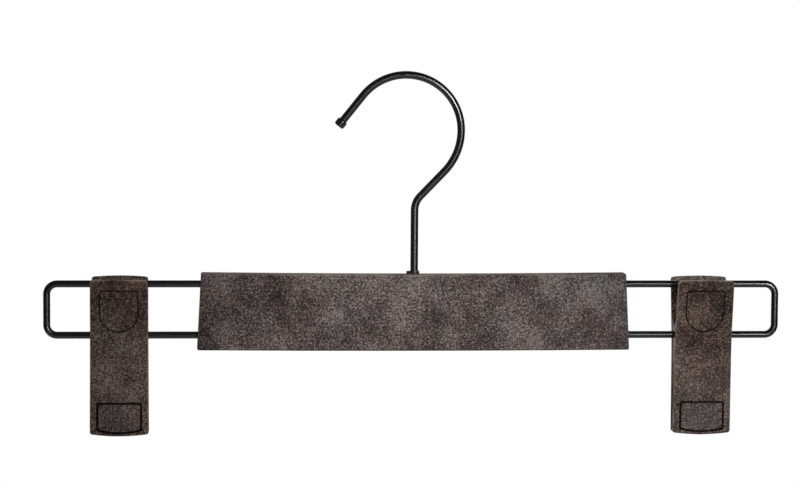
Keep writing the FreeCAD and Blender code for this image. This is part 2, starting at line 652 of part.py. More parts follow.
# The grip pad: a wedge behind the jaw, with a boss that fills the window and a grooved face.
def make_pad(label, clip, half_turn):
    body = new_body(label)
    wedge = new_sketch(body, "PadWedge", "YZ_Plane")
    draw(wedge, [
        ("-pad_clearance", PAD_BOTTOM),
        ("-pad_clearance", PAD_TOP),
        (f"jaw_wall + pad_seat - {lower_reach(PAD_TOP)}", PAD_TOP),
        (f"jaw_wall + pad_seat - {lower_reach(PAD_BOTTOM)}", PAD_BOTTOM),
    ])
    extrude(body, "Pad", wedge, "window_width + 2 * pad_lap", "Symmetric")
    boss = new_sketch(body, "PadBoss", "XZ_Plane", ("0", "0", "pad_clearance + groove_depth"))
    draw(boss, window_corners("pad_gap"))
    extrude(body, "Pad", boss, "tab_reach")
    flush = new_sketch(body, "BossFace", "YZ_Plane")
    draw(flush, [
        (f"-{lower_reach(PAD_BOTTOM)}", PAD_BOTTOM),
        (f"-{lower_reach(PAD_TOP)}", PAD_TOP),
        ("-2 * tab_reach", PAD_TOP),
        ("-2 * tab_reach", PAD_BOTTOM),
    ])
    extrude(body, "Pocket", flush, None, "Symmetric")
    groove = new_sketch(body, "GripGroove", "YZ_Plane")
    draw(groove, [
        ("overrun", f"{PAD_BOTTOM} + groove_pitch - groove_width / 2"),
        ("overrun", f"{PAD_BOTTOM} + groove_pitch + groove_width / 2"),
        ("-pad_clearance", f"{PAD_BOTTOM} + groove_pitch + groove_width / 2"),
        ("-pad_clearance - groove_depth", f"{PAD_BOTTOM} + groove_pitch"),
        ("-pad_clearance", f"{PAD_BOTTOM} + groove_pitch - groove_width / 2"),
    ])
    first = extrude(body, "Pocket", groove, None, "Symmetric")
    grooves = body.newObject("PartDesign::LinearPattern", "GripGrooves")
    grooves.Originals = [first]
    grooves.Direction = (groove, ["V_Axis"])
    grooves.setExpression("Length", formula("groove_pitch * (groove_count - 1)"))
    grooves.setExpression("Occurrences", formula("groove_count"))
    body.Tip = grooves
    place_body(body, clip, LOWER_WIRE, half_turn)
    return body


def make_tube(label, clip):
    body = new_body(label)
    ring = new_sketch(body, "TubeRing", "YZ_Plane")
    circle(ring, "0", "0", "tube_width / 2")
    circle(ring, "0", "0", "loop_wire / 2 + tube_fit")
    extrude(body, "Pad", ring, f"2 * {TUBE_HALF}", "Symmetric")
    place_body(body, clip, LOWER_WIRE)
    return body


def biarc(start, start_way, finish, finish_way):
    """Two arcs that join two points, each leaving in its given direction."""
    span = finish - start
    ways = start_way + finish_way
    spread = 4 - ways.dot(ways)
    reach = (math.sqrt(span.dot(ways) ** 2 + spread * span.dot(span)) - span.dot(ways)) / spread
    first = start + start_way * reach
    last = finish - finish_way * reach
    middle = (first + last) / 2
    return [tangent_arc(start, first, middle), tangent_arc(middle, last, finish)]


def tangent_arc(start, corner, finish):
    """The arc that touches both sides of a corner at its two ends."""
    half_turn = (corner - start).getAngle(finish - corner) / 2
    radius = (corner - start).Length / math.tan(half_turn)
    chord = (start + finish) / 2
    rise = radius * (1 - math.cos(half_turn))
    return Part.Arc(start, chord + (corner - chord).normalize() * rise, finish).toShape()


# The torsion spring, one wire: toe, leg, turns round the hinge tube, leg and toe.
def spring_path():
    wire = value("spring_wire")
    tilt = math.radians(value(f"atan({TAB_SLOPE})"))
    inside = (value(HINGE_REACH) - value("jaw_wall")) * math.cos(tilt)
    radius = inside - value("spring_clearance") - wire / 2
    sweep = 2 * math.pi * value("spring_turns") - math.pi - 2 * tilt
    pitch = wire + value("spring_gap")
    half_length = pitch * sweep / (4 * math.pi)
    climb = pitch / (2 * math.pi)

    def place(angle):
        """Point and direction on the turns at an angle from the start."""
        turn = math.pi + tilt + angle
        point = VEC(climb * angle - half_length, radius * math.cos(turn), radius * math.sin(turn))
        way = VEC(climb, -radius * math.sin(turn), radius * math.cos(turn)).normalize()
        return point, way

    half_turns = math.ceil(sweep / math.pi)
    steps = [place(sweep * step / half_turns) for step in range(half_turns + 1)]
    edges = leg_edges(*steps[0], -1)
    for (start, start_way), (finish, finish_way) in zip(steps, steps[1:]):
        edges += biarc(start, start_way, finish, finish_way)
    edges += leg_edges(*steps[-1], 1)
    print(f"spring turns: radius {radius:.2f}, least gap {least_gap(edges) - wire:.2f}")
    return Part.Wire(edges), wire / 2


def leg_edges(point, way, end):
    """A leg from an end of the turns, with its toe: end is -1 for the first and 1 for the last."""
    bend = value("spring_bend")
    rise = value("spring_leg") - bend - point.z
    along = way * end
    corner = point + along * (rise / along.z)
    toe_way = VEC(-end, 0, 0)
    toe_way = (toe_way - along * toe_way.dot(along)).normalize()
    turn_start = corner
    turn_end = corner + (along + toe_way) * bend
    toe_end = turn_end + toe_way * value("spring_toe")
    edges = [
        Part.LineSegment(point, turn_start).toShape(),
        tangent_arc(turn_start, corner + along * bend, turn_end),
        Part.LineSegment(turn_end, toe_end).toShape(),
    ]
    return edges if end > 0 else edges[::-1]


def least_gap(edges):
    """Least distance between points on the turns that lie more than half a turn apart."""
    points = [point for edge in edges for point in edge.discretize(ARC_SAMPLES + 1)[:-1]]
    return min(
        first.distanceToPoint(second)
        for index, first in enumerate(points)
        for second in points[index + SAMPLES_APART:]
    )


def make_spring(label, clip):
    path, radius = spring_path()
    start = path.OrderedVertexes[0].Point
    way = path.OrderedEdges[0].tangentAt(path.OrderedEdges[0].FirstParameter)
    ring = Part.Wire([Part.Circle(start, way, radius).toShape()])
    part = doc.addObject("Part::Feature", label)
    part.Label = label
    part.Shape = path.makePipeShell([ring], True, False)
    place_body(part, clip, LOWER_WIRE)
    return part


def make_clip(side, clip):
    """The pieces of one clip, both jaws and pads of one form, the back ones half turned."""
    parts = [make_tube(f"{side}_hinge_tube", clip), make_spring(f"{side}_spring", clip)]
    for face, half_turn in (("front", False), ("back", True)):
        parts.append(make_jaw(f"{side}_{face}_jaw", clip, half_turn))
        parts.append(make_pad(f"{side}_{face}_pad", clip, half_turn))
    return parts


def check(parts):
    """Stops if an object failed, or if a piece is not one sound solid."""
    for item in doc.Objects:
        if {"Invalid", "Error"} & set(item.State):
            raise RuntimeError(f"{item.Label} failed: {item.State}")
    for part in parts:
        shape = part.Shape
        if shape.isNull() or not shape.isValid() or len(shape.Solids) != 1:
            raise RuntimeError(f"{part.Label} is not one sound solid")


def main():
    parts = [
        make_hook(),
        make_bush(),
        make_washer(),
        make_shell("body_front_shell", -1),
        make_shell("body_back_shell", 1),
        make_loop("left_wire_loop", -1),
        make_loop("right_wire_loop", 1),
    ]
    parts += make_clip("left", LEFT_CLIP)
    parts += make_clip("right", RIGHT_CLIP)
    doc.recompute()
    check(parts)
    os.makedirs("parts", exist_ok=True)
    for part in parts:
        part.Shape.exportStep(f"parts/{part.Label}.step")
        print(f"{part.Label}: {part.Shape.Volume:.1f} mm3")


main()
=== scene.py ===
"""Looks of the trouser hanger: lacquered wire, pressed fibre board, sprung clips, studio and camera."""
import logging
import math
from dataclasses import dataclass
from enum import Enum
from typing import Any, Callable, Optional, Sequence, Union

import bmesh
import bpy
import numpy as np
from mathutils import Matrix, Vector


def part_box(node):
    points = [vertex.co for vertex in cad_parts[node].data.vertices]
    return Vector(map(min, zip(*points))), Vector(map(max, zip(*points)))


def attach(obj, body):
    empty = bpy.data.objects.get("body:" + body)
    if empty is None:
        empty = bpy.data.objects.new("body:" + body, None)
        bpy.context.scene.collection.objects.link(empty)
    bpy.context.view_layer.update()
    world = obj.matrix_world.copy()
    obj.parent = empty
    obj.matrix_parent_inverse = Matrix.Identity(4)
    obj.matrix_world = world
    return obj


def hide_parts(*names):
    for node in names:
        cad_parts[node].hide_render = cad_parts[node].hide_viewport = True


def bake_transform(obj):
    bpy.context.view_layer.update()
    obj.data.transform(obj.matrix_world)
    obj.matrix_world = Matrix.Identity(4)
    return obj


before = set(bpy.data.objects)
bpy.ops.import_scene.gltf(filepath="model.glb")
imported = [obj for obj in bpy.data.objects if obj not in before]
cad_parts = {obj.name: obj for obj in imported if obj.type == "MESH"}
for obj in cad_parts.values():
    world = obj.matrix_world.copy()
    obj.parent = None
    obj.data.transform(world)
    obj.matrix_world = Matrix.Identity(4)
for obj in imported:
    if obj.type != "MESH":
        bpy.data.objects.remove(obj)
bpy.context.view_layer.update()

MM = 0.001
PHOTO_WIDTH = 800
Colour = tuple[float, float, float]
Number = Union[int, float]

logging.basicConfig(level=logging.INFO, format="%(message)s")
log = logging.getLogger("hanger")


class Side(Enum):
    """End of the hanger that a loop or a clip is on, with the sign of its X."""

    LEFT = -1
    RIGHT = 1

    @property
    def word(self) -> str:
        """Name of the side, as the nodes and bodies spell it."""
        return self.name.lower()


class Face(Enum):
    """Which way a shell or a jaw faces, with the sign of its Y."""

    FRONT = -1
    BACK = 1

    @property
    def word(self) -> str:
        """Name of the face, as the nodes and bodies spell it."""
        return self.name.lower()


class Signal:
    """A socket of a shader tree that can be used in Python sums."""

    def __init__(self, graph: "Graph", socket: bpy.types.NodeSocket) -> None:
        """Wraps one output socket of a graph."""
        self.graph = graph
        self.socket = socket

    def math(self, operation: str, *others: Union["Signal", Number]) -> "Signal":
        """Adds a Math node.

        Args:
            operation: name of the Math node's operation.
            others: the second and third operand, where the operation has them.

        Returns:
            The node's result.
        """
        operands = {index: value for index, value in enumerate((self, *others))}
        return self.graph.node("ShaderNodeMath", {"operation": operation}, operands)

    def vector(self, operation: str, other: Any, out: Union[int, str] = 0) -> "Signal":
        """Adds a Vector Math node with this vector first.

        Args:
            operation: name of the Vector Math node's operation.
            other: the second vector, or three numbers.
            out: output to take.

        Returns:
            The node's result.
        """
        return self.graph.node("ShaderNodeVectorMath", {"operation": operation}, {0: self, 1: other}, out)

    def smooth(self, low: Number, high: Number) -> "Signal":
        """Eases this value from 0 at low to 1 at high."""
        sockets = {"Value": self, "From Min": low, "From Max": high}
        return self.graph.node("ShaderNodeMapRange", {"interpolation_type": "SMOOTHSTEP"}, sockets)

    def _reflected(self, operation: str, first: Number) -> "Signal":
        """Adds a Math node with a plain number as its first operand."""
        return self.graph.node("ShaderNodeMath", {"operation": operation}, {0: first, 1: self})

    def __add__(self, other: Union["Signal", Number]) -> "Signal":
        """This value plus another."""
        return self.math("ADD", other)

    def __sub__(self, other: Union["Signal", Number]) -> "Signal":
        """This value less another."""
        return self.math("SUBTRACT", other)

    def __mul__(self, other: Union["Signal", Number]) -> "Signal":
        """This value times another."""
        return self.math("MULTIPLY", other)

    def __truediv__(self, other: Union["Signal", Number]) -> "Signal":
        """This value over another."""
        return self.math("DIVIDE", other)

    __radd__ = __add__
    __rmul__ = __mul__

    def __rsub__(self, other: Number) -> "Signal":
        """A plain number less this value."""
        return self._reflected("SUBTRACT", other)

    def __abs__(self) -> "Signal":
        """Size of this value."""
        return self.math("ABSOLUTE")


class Graph:
    """A node tree that is written as Python expressions."""

    def __init__(self, tree: bpy.types.NodeTree) -> None:
        """Starts on an empty tree."""
        tree.nodes.clear()
        self.tree = tree

    def node(self, kind: str, settings: Optional[dict] = None, sockets: Optional[dict] = None,
             out: Union[int, str] = 0) -> Signal:
        """Adds a node of any kind.

        Args:
            kind: the node's type.
            settings: its properties; stops is a colour ramp's list of (place, colour).
            sockets: values or signals for its inputs, by name or number.
            out: output to take.

        Returns:
            The output that was asked for.
        """
        made = self.tree.nodes.new(kind)
        for name, value in (settings or {}).items():
            if name == "stops":
                self._set_stops(made.color_ramp, value)
            else:
                setattr(made, name, value)
        for name, value in (sockets or {}).items():
            if isinstance(value, Signal):
                self.tree.links.new(value.socket, made.inputs[name])
            else:
                made.inputs[name].default_value = value
        return Signal(self, made.outputs[out]) if made.outputs else Signal(self, None)

    @staticmethod
    def _set_stops(ramp: bpy.types.ColorRamp, stops: Sequence[tuple[float, Colour]]) -> None:
        """Writes a ramp's stops."""
        while len(ramp.elements) < len(stops):
            ramp.elements.new(1.0)
        for element, (place, colour) in zip(ramp.elements, stops):
            element.position = place
            element.color = (*colour, 1.0)

    def noise(self, place: Signal, scale: float, detail: float = 2.0, roughness: float = 0.5,
              distortion: float = 0.0) -> Signal:
        """A noise texture's value at a place, about 0.5 on average."""
        sockets = {"Vector": place, "Scale": scale, "Detail": detail, "Roughness": roughness,
                   "Distortion": distortion}
        return self.node("ShaderNodeTexNoise", {}, sockets)

    def mix(self, factor: Union[Signal, Number], first: Any, second: Any, blend: str = "MIX") -> Signal:
        """Mixes two colours by a factor."""
        sockets = {0: factor, 6: first, 7: second}
        for number in (6, 7):
            if isinstance(sockets[number], tuple):
                sockets[number] = (*sockets[number], 1.0)
        return self.node("ShaderNodeMix", {"data_type": "RGBA", "blend_type": blend}, sockets, 2)

    def object_place(self) -> Signal:
        """Object coordinates, in metres."""
        return self.node("ShaderNodeTexCoord", out="Object")

    def attribute(self, name: str) -> Signal:
        """A number stored on the mesh."""
        return self.node("ShaderNodeAttribute", {"attribute_name": name}, out="Fac")

    def bump(self, height: Signal, depth: float, strength: float) -> Signal:
        """A Bump node's normal for a height of 0 to 1 and a depth in metres."""
        sockets = {"Strength": strength, "Distance": depth, "Height": height}
        return self.node("ShaderNodeBump", {}, sockets)

    def surface(self, sockets: dict) -> None:
        """Ends a material in a Principled shader with these sockets."""
        shader = self.node("ShaderNodeBsdfPrincipled", {}, sockets)
        self.node("ShaderNodeOutputMaterial", {}, {"Surface": shader})


def new_material(name: str) -> tuple[bpy.types.Material, Graph]:
    """An empty material and the graph of its nodes."""
    material = bpy.data.materials.new(name)
    material.use_nodes = True
    return material, Graph(material.node_tree)


@dataclass(frozen=True)
class FibreBoard:
    """Pressed board of chopped fibres: a dark ground, short lighter and darker fibres, and rounded edges
    lightened by rubbed wear and a painted highlight.
    """

    name: str
    dark: Colour
    middle: Colour
    light: Colour
    # colour of the rounded edges: rubbed wear and a painted highlight where the roundings catch the light
    edge: Colour
    roughness: tuple[float, float] = (0.3, 0.6)
    grain_mm: float = 0.9
    grain_share: float = 3.4
    fibre_share: float = 1.0
    mottle_share: float = 0.95
    gloss: float = 0.25
    side_roughness: float = 0.5
    warm: Colour = (1.07, 0.975, 0.945)
    cool: Colour = (0.945, 1.015, 1.03)
    # painted shade: near-black colour laid into incised marks, window walls and the gaps round the pads
    recess_colour: Colour = (0.0025, 0.002, 0.002)
    edge_highlight_and_wear_cover: float = 0.85
    curl_mm: float = 1.1
    mottle_scale: float = 75.0
    patch_scale: float = 21.0
    hue_scale: float = 48.0
    bump_depth: float = 0.00005

    FIBRE_LAYERS = ((0.9, 0.10, 3.1), (1.35, 0.085, 17.7), (2.1, 0.06, 41.3))

    def fibres(self, graph: Graph, place: Signal, cell_mm: float, width_share: float, shift: float) -> Signal:
        """One layer of fibres, one in each cell of a Voronoi pattern, turned and bowed at random.

        Args:
            graph: the material's graph.
            place: place on the board in millimetres.
            cell_mm: size of a cell.
            width_share: half width of a fibre as a share of its cell.
            shift: moves this layer's pattern away from the others.

        Returns:
            Tone of the fibres, from -0.5 to 0.5, and 0 between them.
        """
        scaled = place.vector("MULTIPLY", (1 / cell_mm,) * 3).vector("ADD", (shift, 2 * shift, 0.0))
        cells = graph.node("ShaderNodeTexVoronoi", {"voronoi_dimensions": "2D"},
                           {"Vector": scaled, "Scale": 1.0}, "Position")
        draw = graph.node("ShaderNodeTexVoronoi", {"voronoi_dimensions": "2D"},
                          {"Vector": scaled, "Scale": 1.0}, "Color")
        parts = [graph.node("ShaderNodeSeparateColor", {}, {"Color": draw}, index) for index in range(3)]
        offset = scaled.vector("SUBTRACT", cells)
        across = [graph.node("ShaderNodeSeparateXYZ", {}, {"Vector": offset}, index) for index in range(2)]
        angle = parts[0] * math.tau
        cosine, sine = angle.math("COSINE"), angle.math("SINE")
        along = across[0] * cosine + across[1] * sine
        aside = across[1] * cosine - across[0] * sine + (parts[2] - 0.5) * 1.6 * along * along
        line = abs(aside).smooth(width_share * 1.6, width_share * 0.5)
        reach = abs(along).smooth(0.62, 0.4)
        return line * reach * (parts[1] - 0.45)

    def material(self) -> bpy.types.Material:
        """Builds the material."""
        material, graph = new_material(self.name)
        place = graph.node("ShaderNodeUVMap", {"uv_map": "Board"})
        solid = graph.object_place()
        curl = graph.node("ShaderNodeTexNoise", {"noise_dimensions": "2D"},
                          {"Vector": place, "Scale": 0.5}, "Color")
        place = place.vector("ADD", curl.vector("MULTIPLY", (self.curl_mm, self.curl_mm, 0.0)))
        tone = None
        for cell_mm, width_share, shift in self.FIBRE_LAYERS:
            layer = self.fibres(graph, place, cell_mm, width_share, shift)
            tone = layer if tone is None else tone + layer
        grain = graph.noise(place, 1 / self.grain_mm, 5.0, 0.75)
        mottle = graph.noise(solid, self.mottle_scale, 3.0, 0.6)
        patch = graph.noise(solid, self.patch_scale, 2.0, 0.5)
        level = (grain - 0.5) * self.grain_share + tone * self.fibre_share
        level = level + (mottle - 0.5) * self.mottle_share + (patch - 0.5) * (self.mottle_share * 0.7) + 0.5
        colour = graph.node("ShaderNodeValToRGB", {
            "stops": ((0.05, self.dark), (0.5, self.middle), (0.95, self.light))}, {"Fac": level})
        hue = (graph.noise(solid, self.hue_scale, 3.0, 0.6) * 0.6 + patch * 0.4).smooth(0.36, 0.64)
        tint = graph.mix(hue, self.warm, self.cool)
        colour = graph.mix(1.0, colour, tint, "MULTIPLY")
        # painted highlight and rubbed wear: the rounded edges are lightened towards the edge colour in
        # patches
        side = graph.attribute("edge")
        worn = side.smooth(0.6, 1.0) * mottle.smooth(0.25, 0.6) * self.edge_highlight_and_wear_cover
        colour = graph.mix(worn, colour, self.edge)
        # painted shade: faces in recesses and gaps are darkened to near black and made rough
        recess = graph.attribute("recess")
        colour = graph.mix(recess, colour, self.recess_colour)
        low, high = self.roughness
        rough = patch.smooth(0.4, 0.62) * 0.75 + grain * 0.25
        rough = rough * (high - low) + low + side * self.side_roughness + recess
        height = grain * 0.6 + tone * 0.8
        graph.surface({
            "Base Color": colour,
            "Roughness": rough.math("MINIMUM", 1.0),
            "Specular IOR Level": self.gloss,
            "Normal": graph.bump(height, self.bump_depth, 0.5),
        })
        return material


@dataclass(frozen=True)
class Lacquer:
    """Black lacquer on drawn wire: a faint waviness and a half-gloss skin."""

    name: str = "black_lacquer"
    colour: Colour = (0.0025, 0.0025, 0.0028)
    dust: Colour = (0.006, 0.006, 0.0063)
    roughness: tuple[float, float] = (0.16, 0.24)

    def material(self) -> bpy.types.Material:
        """Builds the material."""
        material, graph = new_material(self.name)
        place = graph.object_place()
        peel = graph.noise(place, 620.0, 2.0, 0.5)
        cloud = graph.noise(place, 90.0, 3.0, 0.6)
        speck = graph.noise(place, 2600.0, 1.0, 0.5).smooth(0.62, 0.74)
        colour = graph.mix(cloud.smooth(0.35, 0.7) * 0.6 + speck * 0.4, self.colour, self.dust)
        low, high = self.roughness
        graph.surface({
            "Base Color": colour,
            "Roughness": cloud * (high - low) + low,
            "IOR": 1.9,
            "Normal": graph.bump(peel, 0.00002, 0.3),
        })
        return material


@dataclass(frozen=True)
class DrawnSteel:
    """Plain drawn steel with fine scratches and a little tarnish."""

    name: str = "drawn_steel"
    colour: Colour = (0.52, 0.51, 0.49)
    tarnish: Colour = (0.24, 0.22, 0.2)

    def material(self) -> bpy.types.Material:
        """Builds the material."""
        material, graph = new_material(self.name)
        place = graph.object_place()
        stain = graph.noise(place, 240.0, 4.0, 0.6)
        scratch = graph.noise(place.vector("MULTIPLY", (9000.0, 1200.0, 1200.0)), 1.0, 2.0, 0.5)
        colour = graph.mix(stain.smooth(0.48, 0.72), self.colour, self.tarnish)
        graph.surface({
            "Base Color": colour,
            "Metallic": 1.0,
            "Roughness": stain * 0.25 + scratch * 0.14 + 0.14,
            "Normal": graph.bump(scratch, 0.00001, 0.3),
        })
        return material


@dataclass(frozen=True)
class BushPlastic:
    """Dark reddish-brown moulded bush."""

    name: str = "bush_plastic"
    colour: Colour = (0.012, 0.0048, 0.0033)
    worn: Colour = (0.022, 0.0095, 0.0065)

    def material(self) -> bpy.types.Material:
        """Builds the material."""
        material, graph = new_material(self.name)
        place = graph.object_place()
        cloud = graph.noise(place, 700.0, 3.0, 0.6)
        fine = graph.noise(place, 5200.0, 2.0, 0.6)
        graph.surface({
            "Base Color": graph.mix(cloud.smooth(0.35, 0.7), self.colour, self.worn),
            "Roughness": cloud * 0.2 + 0.34,
            "Normal": graph.bump(fine, 0.00003, 0.3),
        })
        return material


@dataclass(frozen=True)
class PaleFloor:
    """Matt pale floor that runs out into the white background."""

    name: str = "pale_floor"
    colour: Colour = (0.5, 0.5, 0.5)
    shade: Colour = (0.46, 0.46, 0.46)
    fade_start: float = 0.3
    fade_end: float = 0.8
    least_white: float = 0.7

    def material(self) -> bpy.types.Material:
        """Builds the material."""
        material, graph = new_material(self.name)
        place = graph.object_place()
        cloud = graph.noise(place, 5.0, 3.0, 0.55)
        away = place.vector("MULTIPLY", (1.0, 1.0, 0.0)).vector("LENGTH", (0.0, 0.0, 0.0), "Value")
        seen = graph.node("ShaderNodeLightPath", out="Is Camera Ray")
        matt = graph.node("ShaderNodeBsdfPrincipled", {}, {
            "Base Color": graph.mix(cloud, self.colour, self.shade),
            "Roughness": cloud * 0.15 + 0.75,
        })
        white = graph.node("ShaderNodeEmission", {}, {"Color": (1, 1, 1, 1), "Strength": 1.0})
        far = away.smooth(self.fade_start, self.fade_end)
        fade = (far * (1 - self.least_white) + self.least_white) * seen
        mixed = graph.node("ShaderNodeMixShader", {}, {0: fade, 1: matt, 2: white})
        graph.node("ShaderNodeOutputMaterial", {}, {"Surface": mixed})
        return material


@dataclass
class Finishes:
    """Every finish of the hanger, made once."""

    board: bpy.types.Material
    clip_board: bpy.types.Material
    pad: bpy.types.Material
    lacquer: bpy.types.Material
    steel: bpy.types.Material
    bush: bpy.types.Material

    @classmethod
    def make(cls) -> "Finishes":
        """Builds the materials."""
        # the fourth colour of each board is its edge colour, for rubbed wear and a painted edge highlight
        return cls(
            board=FibreBoard("body_board", (0.003, 0.0015, 0.0012), (0.031, 0.0233, 0.0215),
                             (0.15, 0.127, 0.12), (0.1, 0.076, 0.063), gloss=0.16).material(),
            clip_board=FibreBoard("clip_board", (0.003, 0.0015, 0.001), (0.054, 0.0355, 0.0285),
                                  (0.235, 0.177, 0.152), (0.22, 0.155, 0.118)).material(),
            pad=FibreBoard("pad_board", (0.004, 0.002, 0.0016), (0.059, 0.0435, 0.04),
                           (0.222, 0.181, 0.169), (0.12, 0.094, 0.083), grain_share=3.0,
                           fibre_share=0.8, mottle_share=0.5).material(),
            lacquer=Lacquer().material(),
            steel=DrawnSteel().material(),
            bush=BushPlastic().material(),
        )


def add_object(name: str, mesh: bpy.types.Mesh) -> bpy.types.Object:
    """Links a new object with this mesh to the scene."""
    made = bpy.data.objects.new(name, mesh)
    bpy.context.scene.collection.objects.link(made)
    return made


def arc(centre: Vector, radius: float, start: float, end: float, step: float = 3.0) -> list[Vector]:
    """Points of an arc in the XZ plane.

    Args:
        centre: centre of the arc.
        radius: its radius.
        start: angle of its first point, in degrees from +X towards +Z.
        end: angle of its last point.
        step: most degrees between two points.

    Returns:
        The points, both ends included.
    """
    count = max(2, math.ceil(abs(end - start) / step))
    angles = [math.radians(start + (end - start) * index / count) for index in range(count + 1)]
    return [centre + Vector((math.cos(turn), 0, math.sin(turn))) * radius for turn in angles]


def bend(corner: Vector, before: Vector, after: Vector, radius: float, step: float = 5.0) -> list[Vector]:
    """Points of the arc that rounds one corner of a path.

    Args:
        corner: the sharp corner.
        before: a point on the side that comes in.
        after: a point on the side that goes out.
        radius: radius of the arc.
        step: most degrees between two points.

    Returns:
        The points, both ends included.
    """
    inward = (before - corner).normalized()
    outward = (after - corner).normalized()
    half = inward.angle(outward) / 2
    centre = corner + (inward + outward).normalized() * (radius / math.sin(half))
    first = corner + inward * (radius / math.tan(half)) - centre
    last = corner + outward * (radius / math.tan(half)) - centre
    axis = first.cross(last)
    turn = math.pi - 2 * half
    count = max(2, math.ceil(math.degrees(turn) / step))
    return [centre + Matrix.Rotation(turn * index / count, 3, axis) @ first for index in range(count + 1)]


def wire_tree() -> bpy.types.NodeTree:
    """Geometry nodes that draw a round wire along a path of edges."""
    name = "WireAlongPath"
    if name in bpy.data.node_groups:
        return bpy.data.node_groups[name]
    tree = bpy.data.node_groups.new(name, "GeometryNodeTree")
    tree.interface.new_socket("Path", in_out="INPUT", socket_type="NodeSocketGeometry")
    tree.interface.new_socket("Wire Radius", in_out="INPUT", socket_type="NodeSocketFloat")
    tree.interface.new_socket("Sides", in_out="INPUT", socket_type="NodeSocketInt")
    tree.interface.new_socket("Finish", in_out="INPUT", socket_type="NodeSocketMaterial")
    tree.interface.new_socket("Wire", in_out="OUTPUT", socket_type="NodeSocketGeometry")
    nodes, links = tree.nodes, tree.links
    given = nodes.new("NodeGroupInput")
    curve = nodes.new("GeometryNodeMeshToCurve")
    ring = nodes.new("GeometryNodeCurvePrimitiveCircle")
    sweep = nodes.new("GeometryNodeCurveToMesh")
    smooth = nodes.new("GeometryNodeSetShadeSmooth")
    whole = nodes.new("GeometryNodeRealizeInstances")
    dress = nodes.new("GeometryNodeSetMaterial")
    result = nodes.new("NodeGroupOutput")
    sweep.inputs["Fill Caps"].default_value = True
    links.new(given.outputs["Path"], curve.inputs["Mesh"])
    links.new(given.outputs["Sides"], ring.inputs["Resolution"])
    links.new(given.outputs["Wire Radius"], ring.inputs["Radius"])
    links.new(curve.outputs["Curve"], sweep.inputs["Curve"])
    links.new(ring.outputs["Curve"], sweep.inputs["Profile Curve"])
    links.new(sweep.outputs["Mesh"], smooth.inputs["Geometry"])
    links.new(smooth.outputs["Geometry"], whole.inputs["Geometry"])
    links.new(whole.outputs["Geometry"], dress.inputs["Geometry"])
    links.new(given.outputs["Finish"], dress.inputs["Material"])
    links.new(dress.outputs["Geometry"], result.inputs["Wire"])
    return tree


def make_wire(name: str, path: Sequence[Vector], radius: float, finish: bpy.types.Material,
              sides: int = 28) -> bpy.types.Object:
    """Makes a wire along a path.

    Args:
        name: name of the piece.
        path: points in millimetres, in the hanger's frame.
        radius: radius of the wire in millimetres.
        finish: its material.
        sides: corners of its section.

    Returns:
        The piece as a plain mesh.
    """
    mesh = bpy.data.meshes.new(name)
    edges = [(index, index + 1) for index in range(len(path) - 1)]
    mesh.from_pydata([point * MM for point in path], edges, [])
    made = add_object(name, mesh)
    tree = wire_tree()
    modifier = made.modifiers.new("Wire", "NODES")
    modifier.node_group = tree
    values = {"Wire Radius": radius * MM, "Sides": sides, "Finish": finish}
    for item in tree.interface.items_tree:
        if item.name in values:
            modifier[item.identifier] = values[item.name]
    made.data = bpy.data.meshes.new_from_object(made.evaluated_get(bpy.context.evaluated_depsgraph_get()))
    made.modifiers.clear()
    made.data.set_sharp_from_angle(angle=math.radians(50))
    return made


def lathe(mesh: bpy.types.Mesh, profile: Sequence[tuple[float, float]], foot: Vector, axis: Vector,
          sides: int = 48) -> None:
    """Adds a turned form to a mesh.

    Args:
        mesh: mesh that the form is added to.
        profile: (radius, distance along the axis) from end to end, in millimetres.
        foot: start of the axis in millimetres.
        axis: direction of the axis.
        sides: corners of its section.
    """
    shape = bmesh.new()
    shape.from_mesh(mesh)
    aim = axis.normalized().to_track_quat("Z", "Y").to_matrix()
    rings = []
    for radius, reach in profile:
        if radius <= 0:
            rings.append([shape.verts.new((foot + aim @ Vector((0, 0, reach))) * MM)])
            continue
        turns = [math.tau * index / sides for index in range(sides)]
        rings.append([
            shape.verts.new((foot + aim @ Vector((radius * math.cos(t), radius * math.sin(t), reach))) * MM)
            for t in turns])
    made = []
    for lower, upper in zip(rings, rings[1:]):
        for index in range(sides):
            corners = [lower[index % len(lower)], lower[(index + 1) % len(lower)],
                       upper[(index + 1) % len(upper)], upper[index % len(upper)]]
            unique = list(dict.fromkeys(corners))
            made.append(shape.faces.new(unique))
    for face in made:
        face.smooth = True
    bmesh.ops.recalc_face_normals(shape, faces=made)
    shape.to_mesh(mesh)
    shape.free()


def board_copy(node: str, name: str, finish: bpy.types.Material, shift: float) -> bpy.types.Object:
    """Copies a CAD node as a merged mesh with a map of places on the board.

    Args:
        node: name of the CAD node.
        name: name of the piece.
        finish: its material.
        shift: moves the board's pattern, in millimetres, so that no two pieces look the same.

    Returns:
        The piece, with the CAD node's own normals.
    """
    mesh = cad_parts[node].data.copy()
    normals = [tuple(corner.vector) for corner in mesh.corner_normals]
    shape = bmesh.new()
    shape.from_mesh(mesh)
    bmesh.ops.remove_doubles(shape, verts=shape.verts, dist=1e-7)
    shape.to_mesh(mesh)
    shape.free()
    if len(mesh.loops) == len(normals):
        mesh.normals_split_custom_set(normals)
    mesh.materials.clear()
    mesh.materials.append(finish)
    layer = mesh.uv_layers.new(name="Board")
    for polygon in mesh.polygons:
        size = [abs(part) for part in polygon.normal]
        first, second = ((0, 2) if size[1] >= 0.55 else (0, 1) if size[2] > size[0] else (1, 2))
        for index in polygon.loop_indices:
            point = mesh.vertices[mesh.loops[index].vertex_index].co / MM
            layer.data[index].uv = (point[first] + shift, point[second] - shift)
    return add_object(name, mesh)


def store(piece: bpy.types.Object, name: str, amount: Callable[[Vector, Vector], float]) -> None:
    """Stores a number on each face of a piece.

    Args:
        piece: the piece.
        name: name of the attribute.
        amount: gives the number from a face's middle in millimetres and its normal.
    """
    mesh = piece.data
    attribute = mesh.attributes.new(name, "FLOAT", "FACE")
    values = [amount(polygon.center / MM, polygon.normal) for polygon in mesh.polygons]
    attribute.data.foreach_set("value", np.array(values, np.float32))


